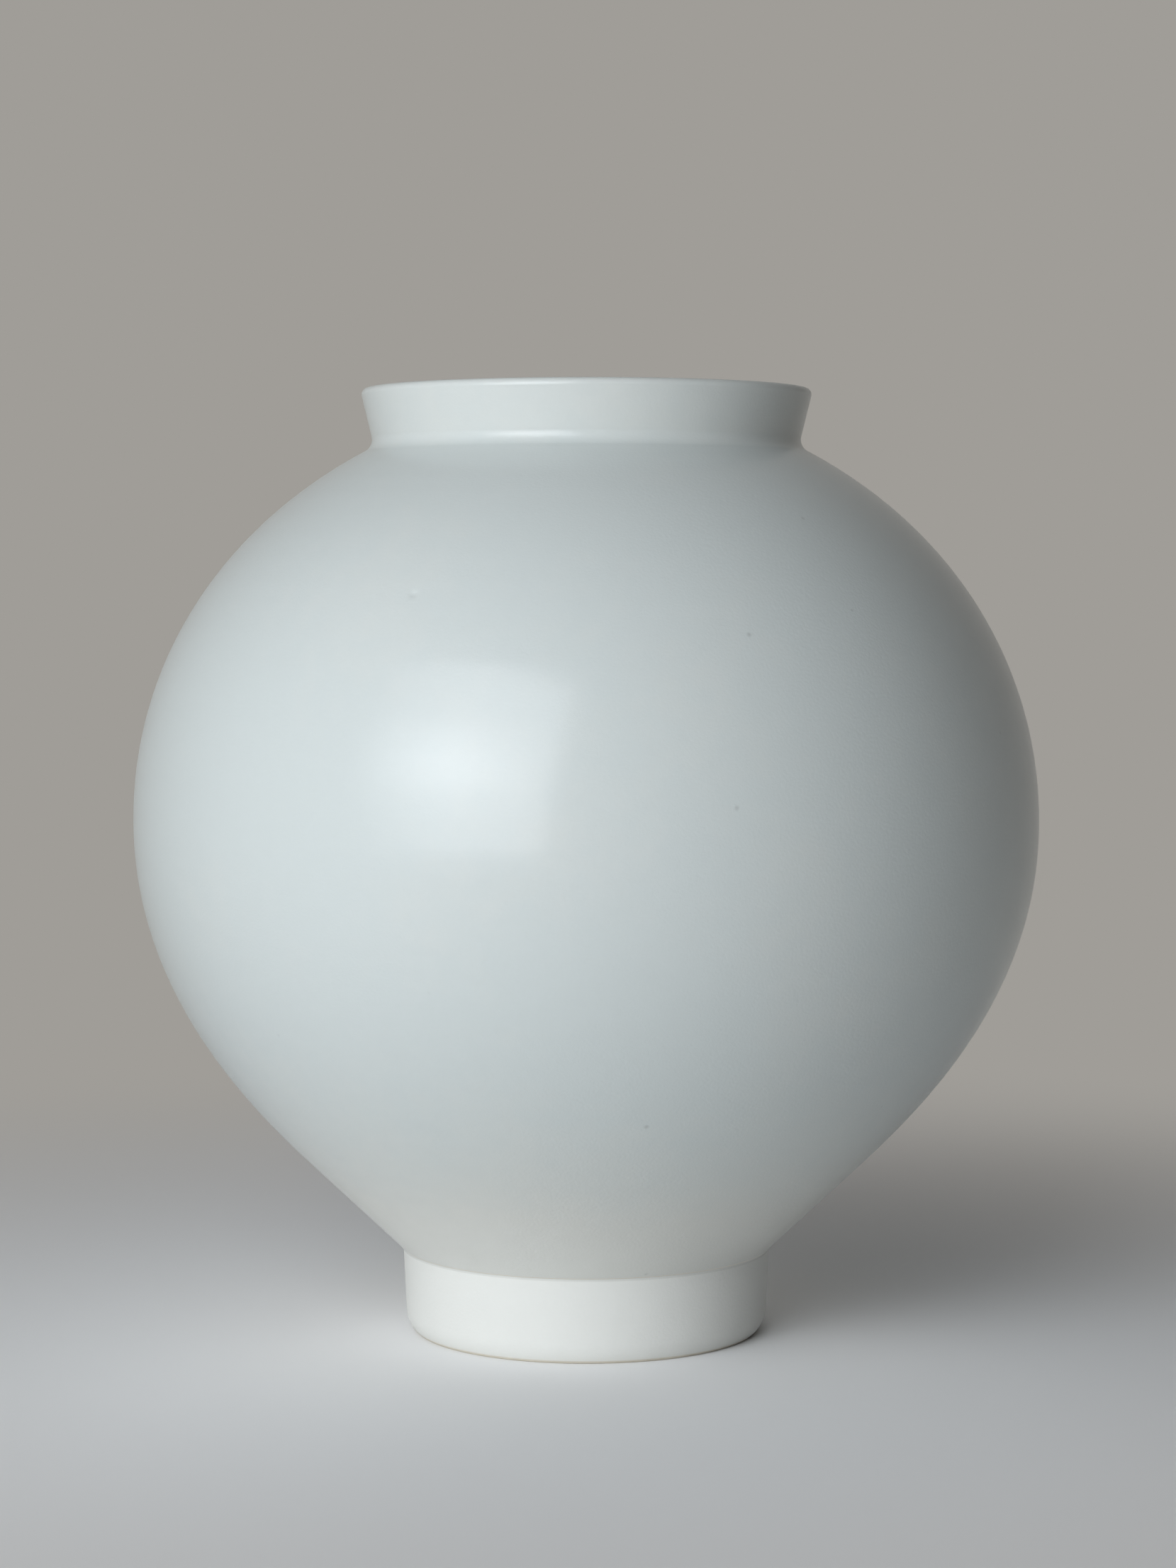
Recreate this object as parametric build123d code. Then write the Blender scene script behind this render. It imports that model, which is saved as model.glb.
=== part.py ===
from build123d import *
import os
from math import cos, radians, sin, tan

# Moon jar, in millimetres and degrees. Two bowls are thrown apart and luted rim to rim at the belly,
# a foot ring is luted under the lower bowl, and a flared collar is luted on top of the upper bowl.
# +Z is up, and the origin is at the middle of the foot, on the surface that the jar stands on.
# Every piece is turned about Z from a half section drawn with x as its radius and y as its height.

# Heights, each from the level below it
foot_height = 27.9
lower_bowl_height = 142.8
upper_bowl_height = 123.8
collar_height = 19.1

# Outside radii, from the table to the rim, and how much the foot ring widens up to the bowl
foot_base_radius = 60.1
foot_flare = 1.3
belly_radius = 150.0
neck_radius = 70.4
rim_radius = 75.0

# Lower wall: a straight cone above the foot, then a curve that swells to the belly
cone_angle = 46.2
cone_length = 40.3
belly_fullness = 1 / 3

# Upper wall: a curve that leaves the belly upright and runs out straight towards the neck
shoulder_slope = 28.4
shoulder_fullness = 0.62
neck_fullness = 0.64

# Thicknesses
bowl_wall = 6.0
shoulder_wall = 8.0
floor_thickness = 8.0
neck_wall = 5.4
rim_wall = 4.6
foot_wall = 9.0
slip_thickness = 0.6

# Edges and joints
floor_round = 14.0
lip_round = 2.0
lip_inner_round = 1.6
foot_roll = 3.0
foot_roll_height = 7.0
foot_inner_bevel = 1.5
tongue_height = 2.4
neck_cove = 4.6
neck_cove_height = 3.8

# Levels and radii that the pieces share
belly_level = foot_height + lower_bowl_height
neck_level = belly_level + upper_bowl_height
rim_level = neck_level + collar_height
floor_level = foot_height + floor_thickness
lower_rim_level = belly_level - slip_thickness / 2
upper_rim_level = belly_level + slip_thickness / 2
ring_top_level = foot_height - slip_thickness
mouth_radius = neck_radius - neck_wall
foot_radius = foot_base_radius + foot_flare
foot_inner_radius = foot_radius - foot_wall

# The lines of the shoulder and the collar cross at the neck. A cove of slip fills that corner, and the
# upper bowl is levelled at the cove's foot, for the collar to stand on.
neck = Vector(neck_radius, neck_level)
up_shoulder = Vector(-cos(radians(shoulder_slope)), sin(radians(shoulder_slope)))
up_collar = (Vector(rim_radius, rim_level) - neck).normalized()
cove_foot = neck - up_shoulder * neck_cove
cove_top = neck + up_collar * neck_cove_height
seat_level = cove_foot.Y
collar_seat_level = seat_level + slip_thickness
collar_foot = neck - up_collar * ((neck_level - collar_seat_level) / up_collar.Y)


def turned(section):
    """The solid that a half section sweeps in one turn about the jar's axis."""
    return revolve(Plane.XZ * section, axis=Axis.Z)


def rim_joint(level):
    """Line of the belly joint from inside to outside: a V as wide as the middle third of the wall."""
    middle = belly_radius - bowl_wall / 2
    half_width = bowl_wall / 6
    return Polyline(
        (belly_radius - bowl_wall, level),
        (middle - half_width, level),
        (middle, level - tongue_height),
        (middle + half_width, level),
        (belly_radius, level),
    )


def lower_wall(inset):
    """Outline of the lower bowl moved into its wall by inset: the cone's foot and top, and the curve
    from that top to the rim. The curve's middle control points lie on the cone's own line, one of them
    where it crosses the upright at the belly, so the bend dies away where the cone begins."""
    up_cone = Vector(sin(radians(cone_angle)), cos(radians(cone_angle)))
    outwards = Vector(cos(radians(cone_angle)), -sin(radians(cone_angle)))
    cone_foot = Vector(foot_radius, foot_height) - outwards * inset
    cone_top = cone_foot + up_cone * cone_length
    rim = Vector(belly_radius - inset, lower_rim_level)
    corner = cone_foot + up_cone * ((rim.X - cone_foot.X) / up_cone.X)
    swell = Bezier(cone_top, cone_top + (corner - cone_top) * belly_fullness, corner, rim)
    return cone_foot, cone_top, swell


def upper_wall(rim_inset, neck_inset, end_radius):
    """Outline of the upper bowl moved into its wall by one inset at the rim and another at the neck: the
    end on the shoulder's line, and the curve from the rim to it. The curve's middle control points lie on
    the upright at the belly and on the shoulder's line, each a share of the way to where these cross."""
    outwards = Vector(up_shoulder.Y, -up_shoulder.X)
    start = neck - outwards * neck_inset
    rim = Vector(belly_radius - rim_inset, upper_rim_level)
    corner = start + up_shoulder * ((rim.X - start.X) / up_shoulder.X)
    end = start + up_shoulder * ((end_radius - start.X) / up_shoulder.X)
    swell = Bezier(rim, rim + (corner - rim) * shoulder_fullness, end + (corner - end) * neck_fullness, end)
    return end, swell


def make_lower_bowl():
    """Bowl with a flat underside, where the foot ring is luted, and a groove round its rim."""
    crease, cone_top, outside = lower_wall(0)
    inner_foot, inner_top, inside = lower_wall(bowl_wall)
    floor_edge = Vector(inner_foot.X + (floor_level - inner_foot.Y) * tan(radians(cone_angle)), floor_level)
    section = make_face(
        [
            Polyline((0, floor_level), (0, foot_height), crease, cone_top),
            outside,
            rim_joint(lower_rim_level),
            inside,
            Polyline(inner_top, floor_edge, (0, floor_level)),
        ]
    )
    corner = section.vertices().sort_by_distance(floor_edge)[0]
    return turned(fillet(corner, floor_round))


def make_upper_bowl():
    """Bowl turned over, with a tongue round its rim and its base cut out and levelled for the collar."""
    seat_edge, outside = upper_wall(0, 0, cove_foot.X)
    inner_mouth, inside = upper_wall(bowl_wall, shoulder_wall, mouth_radius)
    section = make_face(
        [
            rim_joint(upper_rim_level),
            outside,
            Polyline(seat_edge, (mouth_radius, seat_level), inner_mouth),
            inside,
        ]
    )
    return turned(section)


def make_belly_slip():
    """Slip that fills the tongue and groove between the two rims."""
    inner_radius = belly_radius - bowl_wall
    section = make_face(
        [
            rim_joint(lower_rim_level),
            Line((belly_radius, lower_rim_level), (belly_radius, upper_rim_level)),
            rim_joint(upper_rim_level),
            Line((inner_radius, upper_rim_level), (inner_radius, lower_rim_level)),
        ]
    )
    return turned(section)


def make_mouth_collar():
    """Flared band that stands on the levelled ring of the upper bowl, with a rounded lip."""
    outer_lip = (rim_radius, rim_level)
    inner_lip = (rim_radius - rim_wall, rim_level)
    section = make_face(
        Polyline(
            collar_foot,
            outer_lip,
            inner_lip,
            (mouth_radius, collar_seat_level),
            close=True,
        )
    )
    section = fillet(section.vertices().sort_by_distance(outer_lip)[0], lip_round)
    section = fillet(section.vertices().sort_by_distance(inner_lip)[0], lip_inner_round)
    return turned(section)


def make_neck_slip():
    """Slip under the collar, squeezed out and smoothed to a cove between the shoulder and the collar."""
    inner_foot = (mouth_radius, seat_level)
    inner_top = (mouth_radius, collar_seat_level)
    section = make_face(
        [
            Polyline(cove_foot, inner_foot, inner_top, collar_foot, cove_top),
            TangentArc(cove_foot, cove_top, tangent=up_shoulder),
        ]
    )
    return turned(section)


def make_foot_ring():
    """Ring that the jar stands on: a slight taper outside that rolls in to the table, and a bevel inside."""
    taper = foot_flare / ring_top_level
    inner_base_radius = foot_base_radius - foot_wall
    roll_top = (foot_base_radius + taper * foot_roll_height, foot_roll_height)
    roll_foot = (foot_base_radius - foot_roll, 0)
    section = make_face(
        [
            TangentArc(roll_top, roll_foot, tangent=(-taper, -1)),
            Polyline(
                roll_foot,
                (inner_base_radius + foot_inner_bevel, 0),
                (inner_base_radius + taper * foot_inner_bevel, foot_inner_bevel),
                (foot_inner_radius, ring_top_level),
                (foot_radius, ring_top_level),
                roll_top,
            ),
        ]
    )
    return turned(section)


def make_foot_slip():
    """Slip between the foot ring and the underside of the lower bowl."""
    section = make_face(
        Polyline(
            (foot_inner_radius, ring_top_level),
            (foot_radius, ring_top_level),
            (foot_radius, foot_height),
            (foot_inner_radius, foot_height),
            close=True,
        )
    )
    return turned(section)


pieces = {
    "foot_ring": make_foot_ring(),
    "foot_slip": make_foot_slip(),
    "lower_bowl": make_lower_bowl(),
    "belly_slip": make_belly_slip(),
    "upper_bowl": make_upper_bowl(),
    "neck_slip": make_neck_slip(),
    "mouth_collar": make_mouth_collar(),
}

os.makedirs("parts", exist_ok=True)
for name, piece in pieces.items():
    piece.label = name
    export_step(piece, f"parts/{name}.step")
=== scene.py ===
from math import atan2, cos, pi, radians, sin, tan

import bpy
import numpy as np
from bpy.props import FloatProperty, FloatVectorProperty, IntProperty, PointerProperty
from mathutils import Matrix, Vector


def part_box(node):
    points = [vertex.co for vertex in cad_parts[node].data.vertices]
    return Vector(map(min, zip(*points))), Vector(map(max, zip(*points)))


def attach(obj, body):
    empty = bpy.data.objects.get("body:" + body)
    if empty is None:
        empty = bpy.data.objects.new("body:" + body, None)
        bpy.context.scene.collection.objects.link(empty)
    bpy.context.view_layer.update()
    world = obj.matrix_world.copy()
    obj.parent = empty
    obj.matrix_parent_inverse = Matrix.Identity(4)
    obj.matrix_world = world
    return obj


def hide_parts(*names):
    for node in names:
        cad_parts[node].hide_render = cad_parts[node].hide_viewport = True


bl_info = {
    "name": "Moon jar",
    "version": (1, 0, 0),
    "blender": (4, 5, 0),
    "location": "3D View > Sidebar > Moon jar",
    "description": "Builds a luted and glazed moon jar round its packed model, and a plain stage for it",
    "category": "Add Mesh",
}

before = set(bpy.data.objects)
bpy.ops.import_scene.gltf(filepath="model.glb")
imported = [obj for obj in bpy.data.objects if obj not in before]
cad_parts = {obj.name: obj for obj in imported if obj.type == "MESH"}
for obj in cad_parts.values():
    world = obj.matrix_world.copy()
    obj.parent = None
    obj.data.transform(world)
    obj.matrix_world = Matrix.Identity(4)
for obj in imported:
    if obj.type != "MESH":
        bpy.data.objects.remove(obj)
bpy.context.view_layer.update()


def reach(node):
    """Outer radius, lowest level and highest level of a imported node, in metres."""
    low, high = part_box(node)
    return high.x, low.z, high.z


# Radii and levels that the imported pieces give, in metres
FOOT_RADIUS, TABLE, RING_TOP = reach("foot_ring")
BELLY_RADIUS, BOWL_BASE, LOWER_RIM = reach("lower_bowl")
UPPER_RIM = reach("belly_slip")[2]
SEAT_RADIUS, SEAT_LEVEL = reach("neck_slip")[:2]
COLLAR_SEAT, RIM_LEVEL = reach("mouth_collar")[1:]

# Frame of the reference view that the camera and the marks on the glaze are placed in
VIEW_WIDTH = 1659
VIEW_HEIGHT = 2212
FILM_HEIGHT = 36.0

# Marks on the glaze, by their pixels in the reference view
PIT_PIXEL = (583, 838)
SPECK_PIXELS = ((1040, 1140), (912, 1590), (1057, 895))

# Depth of the glaze, as a share of its usual depth
DEEP = 1.7
GLAZED = 1.0
COLLAR = 0.965
LEAN = 0.90
THIN = 0.60
BARE = 0.0

# Refractive index of the glaze, and levels of detail in its softer and its finer noise
GLAZE_IOR = 1.5
SOFT_DETAIL = 2
FINE_DETAIL = 3

# Directions of soft light: from behind the jar, from its left, from above on the lamp's side, from below
REAR = (0.0, 1.0, 0.0)
LEFT = (-0.97, -0.24, 0.0)
SKY = (-0.55, 0.05, 0.83)
BENEATH = (0.0, 0.0, -1.0)

UP = np.array([0.0, 1.0])

# Rows of faces on a bend, the foot's roll, the neck's crease and across the pit, and the fewest on a stretch
BEND_ROWS = 13
ROLL_ROWS = 25
CREASE_ROWS = 33
PIT_ROWS = 25
LEAST_ROWS = 3

# Reaches that the pit's rows span to each side, and the power by which ridges die away at their ends
PIT_SPAN = 3
RIDGE_FADE = 8

# Steps along a curve to measure it, and along a ray to find the wall
CURVE_STEPS = 400
RAY_STEPS = 40000

# Points closer than the first, in metres, are one, and a point closer to the axis than the second is on it
SAME_POINT = 1e-7
ON_AXIS = 1e-9


def length(name, description, default):
    """A property in metres."""
    return FloatProperty(name=name, description=description, default=default, unit="LENGTH", precision=5)


def angle(name, description, degrees):
    """A property that is an angle, given in degrees."""
    return FloatProperty(name=name, description=description, default=radians(degrees), subtype="ANGLE")


def share(name, description, default):
    """A property from 0 to 1."""
    return FloatProperty(name=name, description=description, default=default, min=0, max=1, subtype="FACTOR")


def number(name, description, default):
    """A plain number."""
    return FloatProperty(name=name, description=description, default=default)


def watts(name, description, default):
    """A lamp's power."""
    return FloatProperty(name=name, description=description, default=default, unit="POWER")


def whole(name, description, default, least):
    """A whole number."""
    return IntProperty(name=name, description=description, default=default, min=least)


def colour(name, description, red, green, blue):
    """A colour, given as a screen shows it from 0 to 255 and kept as linear light by the usual curve."""
    shown = np.array([red, green, blue]) / 255
    linear = np.where(shown <= 0.04045, shown / 12.92, ((shown + 0.055) / 1.055) ** 2.4)
    return FloatVectorProperty(
        name=name,
        description=description,
        default=tuple(linear.tolist()),
        size=3,
        subtype="COLOR",
        min=0,
        max=1,
    )


class JarSizes(bpy.types.PropertyGroup):
    """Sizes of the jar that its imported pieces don't give by their boxes."""

    rim_radius: length("Rim radius", "Outside of the collar at the rim, before the lip is rounded", 0.0750)
    cone_angle: angle("Cone angle", "Lean of the straight wall above the foot, from upright", 46.2)
    cone_length: length("Cone length", "Straight wall above the foot, along its slope", 0.0403)
    belly_fullness: share("Belly fullness", "How far the swelling wall keeps to the cone's own line", 1 / 3)
    shoulder_slope: angle("Shoulder slope", "Rise of the shoulder's line to the neck", 28.4)
    shoulder_fullness: share("Shoulder fullness", "How far the upper wall keeps to the belly's upright", 0.62)
    neck_fullness: share("Neck fullness", "How far the upper wall keeps to the shoulder's line", 0.64)
    neck_cove: length("Neck cove", "From the crossing of shoulder and collar to the edge of the seat", 0.0046)
    neck_crease: length("Neck crease", "Reach of the small cove in that crossing, along both", 0.0034)
    bowl_wall: length("Bowl wall", "Thickness of both bowls at the belly", 0.0060)
    shoulder_wall: length("Shoulder wall", "Thickness of the upper bowl at the neck", 0.0080)
    floor_thickness: length("Floor thickness", "Thickness of the lower bowl's floor", 0.0080)
    neck_wall: length("Neck wall", "Thickness of the collar at the neck", 0.0054)
    rim_wall: length("Rim wall", "Thickness of the collar at the rim", 0.0046)
    foot_wall: length("Foot wall", "Thickness of the foot ring", 0.0090)
    foot_flare: length("Foot flare", "How much the foot ring widens up to the bowl", 0.0013)
    foot_roll: length("Foot roll", "How far the foot rolls in to the table", 0.0030)
    foot_roll_height: length("Foot roll height", "Height over which the foot rolls in", 0.0070)
    foot_wiped: length("Foot wiped", "Height above the table up to which the glaze is wiped off", 0.0012)
    foot_inner_bevel: length("Foot inner bevel", "Bevel at the table, inside", 0.0015)
    foot_softness: length("Foot softness", "Radius that wiping leaves on the foot's edges", 0.0006)
    floor_round: length("Floor round", "Radius of the bend between the floor and the wall inside", 0.0140)
    mouth_round: length("Mouth round", "Radius of the inner edge where shoulder and mouth meet", 0.0040)
    lip_round: length("Lip round", "Radius of the lip's outer edge", 0.0020)
    lip_inner_round: length("Lip inner round", "Radius of the lip's inner edge", 0.0016)
    tongue_height: length("Tongue height", "Depth of the V joint at the belly", 0.0024)
    crease_fill: length("Crease fill", "Reach of the slip and glaze in the crease above the foot", 0.0009)
    hand_sway: length("Hand sway", "Most that the belly is drawn in from a true circle", 0.00035)
    lopsided: share("Lopsided", "Share of the sway that leans to one side, where the rest is oval", 0.6)
    lopsided_drift: angle("Lopsided drift", "Turn of the leaning sway from the table to the rim", 516)
    oval_drift: angle("Oval drift", "Turn of the oval sway from the table to the rim, doubled", 286)
    ridge_pitch: length("Ridge pitch", "Rise of the throwing ridges in one turn", 0.0095)
    inner_ridge: length("Inner ridge", "Height of the throwing ridges inside", 0.00022)
    outer_ridge: length("Outer ridge", "Height of what trimming left of the ridges outside", 0.000014)
    trim_ridge: length("Trim ridge", "Height of the trimming spiral under the floor", 0.00010)
    ridge_unevenness: share("Ridge unevenness", "Share of their height that the ridges lose on average", 0.25)
    ridge_waves: whole("Ridge waves", "Weak places of a ridge in one turn", 3, 1)
    ridge_drift: share("Ridge drift", "How fast the weak places move round, as a share of the climb", 0.3)
    pit_depth: length("Pit depth", "Depth of the one pit in the glaze", 0.00032)
    pit_reach: length("Pit reach", "Distance from its middle where the pit is about a third as deep", 0.0013)
    segments: whole("Segments", "Columns of faces round the axis", 360, 24)
    row: length("Row", "Usual height of a row of faces outside", 0.0015)
    inner_row: length("Inner row", "Usual height of a row of faces inside and underneath", 0.0025)
    fine_row: length("Fine row", "Usual height of a row of faces on small pieces", 0.0007)
    sharp_angle: angle("Sharp angle", "Faces that meet at more than this are not smoothed over", 32)


class GlazeLook(bpy.types.PropertyGroup):
    """Colours and surface of the glaze, and of the clay where it is bare."""

    coat: colour("Coat", "Glaze at its usual depth", 207, 213, 211)
    deep: colour("Deep", "Glaze where it lies deepest", 196, 204, 201)
    # The lean colour is lighter and warmer than the coat. Towards the collar it is leaner glaze, and on the
    # cone it is painted warm bounce light.
    lean: colour("Lean", "Glaze where it is a little lean, as towards the foot", 219, 219, 213)
    thin: colour("Thin", "Glaze where it is thin over the clay", 230, 230, 225)
    clay: colour("Clay", "Fired clay with no glaze", 216, 209, 194)
    iron: colour("Iron", "Iron specks in the clay, greyed by the glaze over them", 92, 93, 90)
    sheen: share("Sheen", "Strength of the broad satin sheen under the gloss", 0.15)
    clay_roughness: share("Clay roughness", "Roughness of the sheen on bare clay", 0.80)
    glaze_roughness: share("Glaze roughness", "Roughness of the sheen on the usual glaze", 0.48)
    gloss: share("Gloss", "Share of clear gloss over the satin glaze", 0.62)
    gloss_roughness: share("Gloss roughness", "Roughness of that gloss", 0.17)
    drift_size: length("Drift size", "Width of the broad patches of deeper and thinner glaze", 0.0750)
    drift_gain: share("Drift gain", "How much the broad patches change the depth", 0.08)
    mottle_size: length("Mottle size", "Width of the small patches of deeper and thinner glaze", 0.0085)
    mottle_gain: share("Mottle gain", "How much the small patches change the depth", 0.04)
    peel_size: length("Peel size", "Width of the dimples of the glaze's skin", 0.0009)
    peel_depth: length("Peel depth", "Depth of the dimples of the glaze's skin", 0.00006)
    grit_size: length("Grit size", "Width of the grains of bare clay", 0.0007)
    grit_depth: length("Grit depth", "Height of the grains of bare clay", 0.00005)
    # Drain reach and share: the glaze runs thin right at the crease, and the wide reach also paints warm
    # bounce light onto the cone
    drain_and_warm_light_reach: length("Drain reach", "Distance from the foot's crease over which glaze runs thin", 0.0550)
    drain_and_warm_light_share: share("Drain share", "How much thinner the glaze is at that crease", 0.14)
    speck_spacing: length("Speck spacing", "Usual distance between specks through the clay", 0.0230)
    speck_radius: length("Speck radius", "Radius of the largest speck", 0.0012)
    speck_least: share("Speck least", "Radius of the smallest speck, as a share of the largest", 0.4)
    speck_cover: share("Speck cover", "How much of the glaze's colour the middle of a speck hides", 0.28)
    clay_span: share("Clay span", "Depth of glaze up to which the bare clay's colour shows", 0.12)
    thin_span: share("Thin span", "Depth on each side of thin glaze over which its colour holds", 0.14)


class StageLook(bpy.types.PropertyGroup):
    """Floor, backdrop, lamps and camera."""

    floor: colour("Floor", "Plain floor under the jar", 246, 246, 246)
    backdrop: colour("Backdrop", "What the camera and the gloss see behind the jar", 160, 157, 152)
    floor_end: length("Floor end", "Distance from the jar where the floor starts to fade out", 0.12)
    backdrop_start: length("Backdrop start", "Distance from the jar where only the backdrop is left", 0.65)
    floor_half: length("Floor half", "Half of the floor's width", 30.0)
    floor_drop: length("Floor drop", "How far the floor lies under the foot, to keep the two apart", 0.00005)
    key_power: watts("Key power", "Power of the large lamp, were it all as bright as its middle", 77.5)
    key_light: colour("Key light", "Colour of the lamp", 245, 250, 255)
    key_edge: share("Key edge", "Brightness of the lamp's right edge as a share of its middle", 0.40)
    key_peak: share("Key peak", "Share of the lamp's height that is brighter than that edge", 0.50)
    key_level: share("Key level", "Height of the lamp's brightest line as a share of its height", 0.47)
    key_azimuth: angle("Key azimuth", "How far left of the camera the lamp stands", 33)
    key_elevation: angle("Key elevation", "How high the middle of the lamp stands", 19.5)
    key_distance: length("Key distance", "Distance from the jar's middle to the lamp", 1.8)
    key_width: length("Key width", "Width of the lamp", 1.64)
    key_height: length("Key height", "Height of the lamp", 1.63)
    shaft_power: watts("Shaft power", "Power of the narrow lamp straight above, for the inside alone", 45.0)
    shaft_height: length("Shaft height", "How far above the rim that lamp hangs", 1.2)
    shaft_reach: length("Shaft reach", "Radius of its light at the rim", 0.055)
    shaft_blend: share("Shaft blend", "Share of that radius over which its light fades out", 0.4)
    well_power: watts("Well power", "Power of the small lamp in the hollow, for the inside alone", 0.04)
    well_side: length("Well side", "How far right of the jar's axis that lamp hangs", 0.055)
    lamp_size: length("Lamp size", "Radius of both of these lamps", 0.02)
    fill_level: number("Fill level", "Even light from all round", 0.02)
    rear_level: number("Rear level", "Soft light from behind the jar", 2.8)
    rear_spread: angle("Rear spread", "How far that light spreads to each side", 38)
    left_level: number("Left level", "Soft light from the jar's left", 0.20)
    left_spread: angle("Left spread", "How far that light spreads to each side", 55)
    sky_level: number("Sky level", "Soft light from above, on the lamp's side", 0.20)
    sky_spread: angle("Sky spread", "How far that light spreads to each side", 48)
    beneath_level: number("Beneath level", "Soft light from below, which reaches the underside alone", 2.5)
    beneath_spread: angle("Beneath spread", "How far that light spreads to each side", 45)
    clear_share: share("Clear share", "Radius of the clear patch of floor, as a share of the foot's", 0.92)
    focal_pixels: number("Focal pixels", "Focal length in pixels of the reference view", 4920.0)
    camera_distance: length("Camera distance", "From the jar's axis to the camera", 1.1611)
    camera_height: length("Camera height", "From the table to the camera", 0.2527)
    camera_side: length("Camera side", "How far right of the jar's axis the camera stands", 0.00054)
    camera_pitch: angle("Camera pitch", "How far down the camera looks", 3.457)


def point(radius, level):
    """A point of a half section."""
    return np.array([radius, level], float)


def unit(direction):
    """The same direction, one long."""
    return direction / np.linalg.norm(direction)


def travelled(points):
    """Distance from the first point to each, along the points."""
    return np.concatenate([[0], np.cumsum(np.linalg.norm(np.diff(points, axis=0), axis=1))])


def eased(count):
    """So many shares from 0 to 1, closer towards both ends: half of one less the cosine from 0 to pi."""
    return (1 - np.cos(np.linspace(0, pi, count))) / 2


def graded(span, row):
    """Such shares for a stretch of this length, about a row apart."""
    return eased(max(LEAST_ROWS, round(span / row)) + 1)


def crowded(values, closer):
    """Values in order, with closer ones in place of those that they span."""
    outside = (values < closer[0]) | (values > closer[-1])
    return np.sort(np.concatenate([values[outside], closer]))


def straight(start, end, row):
    """Points on the straight line from start to end."""
    along = graded(np.linalg.norm(end - start), row)[:, None]
    return start * (1 - along) + end * along


def arc(start, heading, end, count):
    """Points on the circle that leaves start on a heading and ends at end. Its radius is the chord squared
    over twice the chord's part across the heading, and it turns by twice the angle between them."""
    chord = end - start
    across = np.array([-heading[1], heading[0]])
    radius = chord @ chord / (2 * chord @ across)
    turn = 2 * atan2(chord @ across, chord @ heading) * eased(count)[:, None]
    return start + radius * (np.sin(turn) * heading + (1 - np.cos(turn)) * across)


def rounded(before, corner, after, radius):
    """Points on the arc of this radius that replaces a corner. It starts and ends where a circle touches
    both sides, at the radius over the tangent of half the corner's angle."""
    back = unit(before - corner)
    ahead = unit(after - corner)
    cut = radius / tan(np.arccos(back @ ahead) / 2)
    return arc(corner + back * cut, -back, corner + ahead * cut, BEND_ROWS)


def swell(controls, along):
    """Points of the cubic curve that four control points make: each weighs in by a power of the share
    along, a power of what is left of it, and the number of ways to pick them."""
    first, second, third, last = controls
    along = along[:, None]
    left = 1 - along
    return first * left**3 + 3 * second * along * left**2 + 3 * third * along**2 * left + last * along**3


def swelling(controls, row):
    """Points of that curve about a row apart."""
    return swell(controls, graded(np.linalg.norm(controls[-1] - controls[0]), row))


def coated(points, glaze, ridge=0.0):
    """Rows of radius, level, glaze depth and ridge height for a stretch. Ridges die away at its ends."""
    position = np.linspace(-1, 1, len(points))
    rows = np.empty((len(points), 4))
    rows[:, :2] = points
    rows[:, 2] = glaze
    rows[:, 3] = ridge * (1 - position**RIDGE_FADE)
    return rows


def joined(*stretches):
    """Stretches end to end. A point that two share is kept once, with the deeper glaze of the two."""
    rows = np.concatenate(stretches)
    gap = np.linalg.norm(np.diff(rows[:, :2], axis=0), axis=1)
    repeated = np.flatnonzero(gap < SAME_POINT)
    rows[repeated, 2] = np.maximum(rows[repeated, 2], rows[repeated + 1, 2])
    return np.delete(rows, repeated + 1, axis=0)


def ring_section(corners, radii, glazes, row):
    """Rows of a closed section: straight sides between its corners, each corner rounded by its radius. A
    side and the corner that it leaves have the same glaze."""
    bends = []
    befores = corners[-1:] + corners[:-1]
    afters = corners[1:] + corners[:1]
    for before, corner, after, radius in zip(befores, corners, afters, radii):
        bends.append(rounded(before, corner, after, radius) if radius else corner[None])
    stretches = []
    for bend, following, glaze in zip(bends, bends[1:] + bends[:1], glazes):
        stretches.append(coated(bend, glaze))
        stretches.append(coated(straight(bend[-1], following[0], row), glaze))
    return joined(*stretches)[:-1]


def rim_joint(sizes, level):
    """Corners of the belly joint from inside to outside: a V as wide as the middle third of the wall."""
    middle = BELLY_RADIUS - sizes.bowl_wall / 2
    half_width = sizes.bowl_wall / 6
    return [
        point(BELLY_RADIUS - sizes.bowl_wall, level),
        point(middle - half_width, level),
        point(middle, level - sizes.tongue_height),
        point(middle + half_width, level),
        point(BELLY_RADIUS, level),
    ]


def lower_wall(sizes, inset):
    """The lower bowl's wall moved in by inset: the cone's foot and top, and the control points of the curve
    from there to the rim. The middle two lie on the cone's line, the second where it crosses the upright at
    the belly."""
    up_cone = np.array([sin(sizes.cone_angle), cos(sizes.cone_angle)])
    outwards = np.array([up_cone[1], -up_cone[0]])
    foot = point(FOOT_RADIUS, BOWL_BASE) - outwards * inset
    top = foot + up_cone * sizes.cone_length
    rim = point(BELLY_RADIUS - inset, LOWER_RIM)
    corner = foot + up_cone * (rim[0] - foot[0]) / up_cone[0]
    return foot, top, (top, top + (corner - top) * sizes.belly_fullness, corner, rim)


def neck_lines(sizes):
    """Where the lines of the shoulder and the collar cross, and the directions up along both. The crossing
    is the edge of the collar's seat carried up the shoulder by neck_cove."""
    up_shoulder = np.array([-cos(sizes.shoulder_slope), sin(sizes.shoulder_slope)])
    neck = point(SEAT_RADIUS, SEAT_LEVEL) + up_shoulder * sizes.neck_cove
    up_collar = unit(point(sizes.rim_radius, RIM_LEVEL) - neck)
    return neck, up_shoulder, up_collar


def mouth_corners(sizes):
    """The collar's foot outside, where its line meets the seat, and the mouth's radius."""
    neck, up_shoulder, up_collar = neck_lines(sizes)
    return neck - up_collar * (neck[1] - COLLAR_SEAT) / up_collar[1], neck[0] - sizes.neck_wall


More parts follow.
